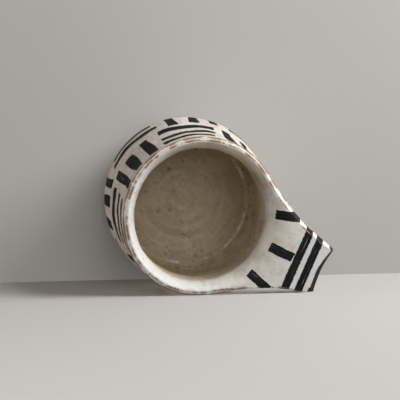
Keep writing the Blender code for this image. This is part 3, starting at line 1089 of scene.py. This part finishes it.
# Places in plan between which one width goes over to the next
FREE_AFTER = 0.014
FLANK_FROM, FLANK_TO = 0.009, 0.014
CORNER_FROM, CORNER_TO = -0.014, 0.002
END_FROM, END_TO = -0.006, -0.002
DRIFT = np.array((0.0, 0.0007, -0.0012))  # how far off true the tab's end is
DRIFT_FROM = 0.045  # and how far out that begins
TAB_SPARED = (0.0, 0.60)  # millimetres by which the two arrises of the tab are less worn than the lip's
END_SPARED = 0.45  # and those of its end
END_REACH = 6.0  # millimetres that the stroke on the end falls short by, along a flank


def tab_bevel(sizes, rim):
    """How free of the lip each point of the tab's outline is, how near the end, and how wide its slant."""
    travel = travelled(rim)
    free = eased(np.minimum(travel, travel[-1] - travel), 0.0, FREE_AFTER)
    ended = eased(-rim[:, 0] - sizes.tab_reach, END_FROM, END_TO)
    share = BEVEL_UP + (BEVEL_DOWN - BEVEL_UP) * eased(rim[:, 1], FLANK_FROM, FLANK_TO)
    end_share = END_UP + (END_DOWN - END_UP) * eased(rim[:, 1], CORNER_FROM, CORNER_TO)
    share += (end_share - share) * ended
    return free, ended, sizes.edge_chamfer * (1 + (share - 1) * free)


def tab_edge(sizes, slant, low):
    """The tab's edge as rows of (inset, drop): over both arrises of the slant, down, and round below."""
    band = sizes.height - sizes.band_bottom
    turn = np.linspace(0.0, QUARTER, UNDER_ROUND_ROWS)[1:]
    under = np.c_[low * (1 - np.cos(turn)), band - low * (1 - np.sin(turn))]
    path = np.vstack([slanted(sizes, slant, band - low), under])
    index = np.arange(len(path))
    wanted = np.linspace(0.0, index[-1], index[-1] * EDGE_PARTS + 1)
    return np.c_[np.interp(wanted, index, path[:, 0]), np.interp(wanted, index, path[:, 1])]


def between(first, last, rows):
    """Rows of points that lead from the first to the last, with both left out."""
    return [first + (last - first) * share for share in np.linspace(0.0, 1.0, rows)[1:-1]]


class MUG_OT_tab_slab(bpy.types.Operator):
    """Build the tab: its roll into the cup, its flat face, its slanted edge and its underside"""

    bl_idname = "mug.tab_slab"
    bl_label = "Tab Slab"

    def execute(self, context):
        sizes = context.scene.mug_sizes
        rim = tab_outline(sizes, 0.0)
        inward = (tab_outline(sizes, sizes.edge_chamfer) - rim) / sizes.edge_chamfer
        bearing = np.arctan2(rim[:, 1], -rim[:, 0])
        free, ended, slant = tab_bevel(sizes, rim)
        edge = np.array([tab_edge(sizes, wide, UNDER_ROUND * share) for wide, share in zip(slant, free)])
        inset, drop = edge.transpose(2, 1, 0)

        # Rows along the outline, from the throat over the face and the edge to the wall underneath
        around = around_tab(bearing)
        rolled = []
        for turn in np.linspace(QUARTER, 0.0, ROLL_ROWS):
            radius, height = roll(sizes, bearing, turn)
            rolled.append(np.c_[around * radius[:, None], height])
        edged = np.dstack([rim + inward * inset[:, :, None], sizes.height - drop])
        face = between(rolled[-1], edged[0], FACE_ROWS)
        root = np.c_[around * sizes.rim_radius, np.full(len(rim), sizes.band_bottom)]
        rows = np.concatenate([rolled, face, edged, between(edged[-1], root, UNDER_ROWS), [root]])
        edge_from = len(rolled) + len(face)
        edge_to = edge_from + len(edged)

        # Distances to the two arrises, and how far past the upper one the painted end goes
        high = np.full(len(rim), sizes.height)
        arrises = np.c_[rim + inward * slant[:, None], high], np.c_[rim, high - slant]
        away = [np.linalg.norm(rows - arris, axis=2) / MM for arris in arrises]
        past = -away[0]
        past[edge_from:] = slant / MM
        past[edge_from:edge_to] -= inset / MM
        past -= END_REACH * (1 - ended)
        inner, outer = [far + spared * free + END_SPARED * ended for far, spared in zip(away, TAB_SPARED)]

        # The end a little off true, and the mesh
        out = np.clip(-rows[:, :, :1] - DRIFT_FROM, 0.0, None) / (sizes.tab_reach - DRIFT_FROM)
        rows += DRIFT * out**2
        piece = swept("tab_slab", rows.transpose(1, 0, 2))
        strokes = tab_brush(positions(piece.data))
        strokes.lay(past.T.ravel(), rows[:, :, 1].T.ravel() / MM, past.T.ravel())
        seen = np.arange(len(rows)) < edge_to
        strokes.put(piece.data, np.tile(seen, len(rim)))

        # Painted shade: beige on the tab's middle near the cup, and beside it on the lip, lining glaze that is
        # darkened on its shaded side as painted shade
        reach = np.linalg.norm(rows[:, :, :2], axis=2) / MM
        middle = np.cos(QUARTER * bearing / root_angle(sizes))
        stain_and_shade, low = lip_stain(sizes, rows)
        shade_and_stain = TAB_ROOT_SHADE * ramp(reach, TAB_ROOT_SHADE_END, sizes.rim_radius / MM) ** TAB_ROOT_SHADE_POWER
        shade_and_stain = np.maximum(shade_and_stain * middle, stain_and_shade * (1 - middle) * low)
        deep = np.maximum(deepness(sizes, rows[:, :, 2]), shade_and_stain)
        deep[edge_from:] = 0.0
        rubbed = np.zeros(rows.shape[:2])
        rubbed[edge_from:edge_to] = rubbed_share(sizes, drop) * (1 - free)
        put_attributes(piece.data, inner_arris=inner.T, outer_arris=outer.T, deep=deep.T, rubbed=rubbed.T)
        settle(piece, finish_of(brushed_slip))
        hand_over(piece, "white_slip", "tab_handle")
        return {"FINISHED"}


LUTING_SPREAD = 0.62  # of the tab's root
LUTING_COLUMNS, LUTING_ROWS = 70, 16
LUTING_LEAST = 0.0006  # leg of the fillet at its two ends
LUTING_SINK = 0.0008  # how far it goes into wall and tab


class MUG_OT_luting_fillet(bpy.types.Operator):
    """Press the hollow fillet into the corner under the tab"""

    bl_idname = "mug.luting_fillet"
    bl_label = "Luting Fillet"

    def execute(self, context):
        sizes = context.scene.mug_sizes
        top = sizes.band_bottom
        wall_radius, wall_height = outside(sizes).T
        half = root_angle(sizes) * LUTING_SPREAD
        turn = np.linspace(0.0, QUARTER, LUTING_ROWS)
        loops = []
        for bearing in np.linspace(-half, half, LUTING_COLUMNS):
            leg = sizes.luting_leg * (1.0 - (bearing / half) ** 4) + LUTING_LEAST
            low = top - leg
            low_radius, top_radius = np.interp((low, top), wall_height, wall_radius)
            front = np.c_[low_radius + leg * (1 - np.cos(turn)), low + leg * np.sin(turn)]
            back = [
                (front[-1, 0], top + LUTING_SINK),
                (top_radius - LUTING_SINK, top + LUTING_SINK),
                (low_radius - LUTING_SINK, low),
            ]
            section = np.vstack([front, back])
            loops.append(np.c_[around_tab(bearing) * section[:, :1], section[:, 1]])
        piece = swept("luting_fillet", np.array(loops))
        put_attributes(piece.data, inner_arris=CLEAR, outer_arris=CLEAR, brush=-CLEAR)
        put_attributes(piece.data, deep=0.0, rubbed=RUBBED_AND_SHADED)
        settle(piece, finish_of(brushed_slip))
        hand_over(piece, "white_slip", "tab_luting_coil")
        return {"FINISHED"}


FOOT_CHAMFER, FOOT_ROUND = 0.0006, 0.0002
FOOT_EDGE_ROWS = 8  # points of the outline that the foot's upper edge takes up
FOOT_STEP = 0.0012
FOOT_FLAT = 0.0025  # flat band inside the chamfer, before the rings
FOOT_RINGS, FOOT_RING_PITCH, FOOT_RING_DEPTH, FOOT_RING_FULL = 90, 0.0034, 0.00012, 0.003


class MUG_OT_bare_foot(bpy.types.Operator):
    """Turn the bare foot, with the rings that the trimming tool leaves"""

    bl_idname = "mug.bare_foot"
    bl_label = "Bare Foot"

    def execute(self, context):
        sizes = context.scene.mug_sizes
        under_coat = sizes.coat + JOINT_GAP
        top = sizes.floor_height - under_coat
        skin = below(offset(outside(sizes), -under_coat), top)
        flat = sizes.foot_radius - FOOT_CHAMFER
        side = [skin[FOOT_EDGE_ROWS], skin[0], (sizes.foot_radius, FOOT_CHAMFER), (flat, 0.0)]
        side = rounded(side, FOOT_ROUND)[1:]
        radius = np.linspace(flat - FOOT_FLAT, 0.0, FOOT_RINGS)
        rings = FOOT_RING_DEPTH * (1 - np.cos(radius / FOOT_RING_PITCH * math.tau))
        under = np.c_[radius, rings * ramp(radius, 0.0, FOOT_RING_FULL)]
        skin = spaced(skin[FOOT_EDGE_ROWS:], FOOT_STEP)[::-1]
        profile = np.vstack([[(0.0, top), (skin[0, 0], top)], skin, side, under])
        piece = spun("bare_foot", profile, finish_of(bare_stoneware_skin))
        hand_over(piece, "bare_clay", "base_slab")
        return {"FINISHED"}


# The camera, in the frame of the part, and the pale plane that the mug lies against
CAMERA_PLACE = Vector((0.1353, -0.0478, 0.7140))
CAMERA_BACK = Vector((0.2012, -0.0617, 0.9776))
CAMERA_UP = Vector((0.3982, -0.9067, -0.1392))
CAMERA_RIGHT = CAMERA_UP.cross(CAMERA_BACK)
SENSOR = 36.0
PLANE_DOWN = Vector((-0.4131, 0.9064, 0.0889)).normalized()
PLANE_REACH = 0.0490  # from the origin
PLANE_SINK = 0.2  # how far the plane goes down below the floor
STAGE_HALF = 2.5
LAMP_AIM = Vector((-0.012, 0.0, 0.045))
LAMP_AWAY = 1.1
KEY_WAY = CAMERA_RIGHT * 0.74 + CAMERA_UP * 0.60 + CAMERA_BACK * 0.17
KEY_AWAY, KEY_WIDE = 1.0, 0.55
MOUTH_WAY = CAMERA_RIGHT * 0.24 + CAMERA_UP * 0.16 + CAMERA_BACK * 0.94
MOUTH_WIDE = 0.7
SIDE_WAY = Vector((0.93, 0.30, 0.03))
BACK_WAY = Vector((-0.85, 0.45, 0.03))
STRIP_LONG, STRIP_TALL = 0.9, 0.14
STEEP = 0.9  # a lamp that is nearer to upright than this is squared with Y instead of Z
WARM = (1.0, 0.87, 0.74)
WHITE = (1.0, 1.0, 1.0)
ROOM_SHADE = (1.0, 0.98, 0.96)
# The stage shines by itself from here on out, dims in patches, and gives the mug little light and reflection
GLOW_FROM, GLOW_TO = 0.12, 0.50
STAGE_DIM, STAGE_THROWN, STAGE_MIRRORED = 0.94, 0.4, 0.25
STAGE_ROUGH = 0.8
SKY_FROM, SKY_TO = 0.15, 0.85


class MUG_OT_stage(bpy.types.Operator):
    """Lay the floor, stand the plane that the mug touches, hang the lamps and set the camera"""

    bl_idname = "mug.stage"
    bl_label = "Stage"

    def execute(self, context):
        scene = context.scene
        stage = scene.mug_stage
        half = STAGE_HALF
        corners = [(-half, -half, 0.0), (half, -half, 0.0), (half, half, 0.0), (-half, half, 0.0)]
        floor = new_piece("floor", corners, [(0, 1, 2, 3)])
        floor.data.materials.append(pale_material("pale_floor", stage.floor, False))
        rise = (Vector((0, 0, 1)) - PLANE_DOWN * PLANE_DOWN.z).normalized()
        side = PLANE_DOWN.cross(rise) * half
        low = PLANE_DOWN * PLANE_REACH - rise * PLANE_SINK
        high = PLANE_DOWN * PLANE_REACH + rise * half
        plane = new_piece("side_plane", [low - side, high - side, high + side, low + side], [(0, 1, 2, 3)])
        if plane.data.polygons[0].normal.dot(PLANE_DOWN) > 0:
            plane.data.flip_normals()
        plane.data.materials.append(pale_material("pale_side", stage.floor, True))
        camera = bpy.data.objects.new("camera", bpy.data.cameras.new("camera"))
        camera.data.lens = stage.focal_length
        camera.data.sensor_width = SENSOR
        camera.matrix_world = looking(CAMERA_PLACE, CAMERA_BACK, CAMERA_UP)
        scene.collection.objects.link(camera)
        scene.camera = camera
        lamp("key", KEY_WAY, KEY_AWAY, stage.key_power, KEY_WIDE, KEY_WIDE)
        lamp("mouth_fill", MOUTH_WAY, LAMP_AWAY, stage.mouth_power, MOUTH_WIDE, MOUTH_WIDE)
        lamp("side_fill", SIDE_WAY, LAMP_AWAY, stage.side_power, STRIP_LONG, STRIP_TALL, WARM)
        lamp("back_fill", BACK_WAY, LAMP_AWAY, stage.fill_power, STRIP_LONG, STRIP_TALL)
        sky(scene, stage)
        scene.view_settings.view_transform = "Standard"
        return {"FINISHED"}


def looking(place, back, up):
    """A frame at this place whose Z is back and whose Y is nearest to up."""
    z = back.normalized()
    x = up.cross(z).normalized()
    y = z.cross(x)
    turn = Matrix((x, y, z)).transposed().to_4x4()
    return Matrix.Translation(place) @ turn


def lamp(name, away, distance, power, wide, tall, shade=WHITE):
    """A soft lamp that faces the middle of the mug and stays out of the picture."""
    light = bpy.data.lights.new(name, "AREA")
    light.energy = power
    light.color = shade
    light.shape = "RECTANGLE"
    light.size = wide
    light.size_y = tall
    made = bpy.data.objects.new(name, light)
    away = away.normalized()
    up = Vector((0, 0, 1)) if abs(away.z) < STEEP else Vector((0, 1, 0))
    made.matrix_world = looking(LAMP_AIM + away * distance, away, up)
    made.visible_camera = False
    bpy.context.scene.collection.objects.link(made)


def eye_share(nodes):
    """1 on what the eye sees straight or through glass, less on what is mirrored, 0 on what only lights."""
    path = nodes.add("ShaderNodeLightPath").outputs
    straight = nodes.larger(path["Is Camera Ray"], path["Is Transmission Ray"])
    return nodes.larger(straight, nodes.times(path["Is Glossy Ray"], STAGE_MIRRORED))


def pale_material(name, shade, one_sided):
    """A pale stage that throws little light back. A one-sided one shows from its front and stops no light."""
    made, nodes, shader = blank_material(name)
    place = nodes.place()
    dim, thrown = [tuple(share * part for part in shade) for share in (STAGE_DIM, STAGE_THROWN)]
    path = nodes.add("ShaderNodeLightPath").outputs
    lighting = nodes.larger(path["Is Diffuse Ray"], path["Is Glossy Ray"])
    base = nodes.tint(lighting, nodes.tint(nodes.noise(place, 3.0, 3.0), dim, shade), thrown)
    nodes.tree.links.new(base, shader.inputs["Base Color"])
    shader.inputs["Roughness"].default_value = STAGE_ROUGH
    shown = eye_share(nodes)
    far = nodes.times(nodes.span(nodes.reach(place), GLOW_FROM, GLOW_TO), shown)
    glow = nodes.add("ShaderNodeEmission", {"Color": opaque(shade), "Strength": 1.0}).outputs[0]
    surface = nodes.add("ShaderNodeMixShader", {0: far, 1: shader.outputs[0], 2: glow}).outputs[0]
    if one_sided:
        clear = nodes.add("ShaderNodeBsdfTransparent").outputs[0]
        behind = nodes.add("ShaderNodeNewGeometry").outputs["Backfacing"]
        front = nodes.times(shown, nodes.minus(1.0, behind))
        surface = nodes.add("ShaderNodeMixShader", {0: front, 1: clear, 2: surface}).outputs[0]
    nodes.tree.links.new(surface, nodes.tree.nodes["Material Output"].inputs["Surface"])
    return made


def sky(scene, stage):
    """Soft light from all round, shown pale at the level of the eye."""
    world = bpy.data.worlds.new("soft_room")
    scene.world = world
    world.use_nodes = True
    nodes = Nodes(world.node_tree)
    climb = nodes.parts(nodes.add("ShaderNodeTexCoord").outputs["Generated"])[2]
    shown = nodes.span(climb, SKY_FROM, SKY_TO, stage.horizon_strength, stage.room_strength)
    more = nodes.minus(shown, stage.room_strength)
    strength = nodes.scaled(eye_share(nodes), more, stage.room_strength)
    back = nodes.tree.nodes["Background"]
    back.inputs["Color"].default_value = opaque(ROOM_SHADE)
    nodes.tree.links.new(strength, back.inputs["Strength"])


class MUG_PT_panel(bpy.types.Panel):
    """Lists the steps that build the mug"""

    bl_idname = "MUG_PT_panel"
    bl_label = "Hand-built Mug"
    bl_space_type = "VIEW_3D"
    bl_region_type = "UI"
    bl_category = "Mug"

    def draw(self, context):
        for step in STEPS:
            self.layout.operator(step.bl_idname)


STEPS = (
    MUG_OT_coated_wall,
    MUG_OT_glazed_lining,
    MUG_OT_rolled_lip,
    MUG_OT_tab_slab,
    MUG_OT_luting_fillet,
    MUG_OT_bare_foot,
    MUG_OT_stage,
)
GROUPS = {"mug_sizes": MugSizes, "mug_hand": MugHand, "mug_finish": MugFinish, "mug_stage": MugStage}


def register():
    for group in (*GROUPS.values(), *STEPS, MUG_PT_panel):
        bpy.utils.register_class(group)
    for name, group in GROUPS.items():
        setattr(bpy.types.Scene, name, bpy.props.PointerProperty(type=group))


def unregister():
    for name in GROUPS:
        delattr(bpy.types.Scene, name)
    for group in reversed((*GROUPS.values(), *STEPS, MUG_PT_panel)):
        bpy.utils.unregister_class(group)


def main():
    register()
    bpy.ops.mug.coated_wall()
    bpy.ops.mug.glazed_lining()
    bpy.ops.mug.rolled_lip()
    bpy.ops.mug.tab_slab()
    bpy.ops.mug.luting_fillet()
    bpy.ops.mug.bare_foot()
    bpy.ops.mug.stage()


if __name__ == "__main__":
    main()
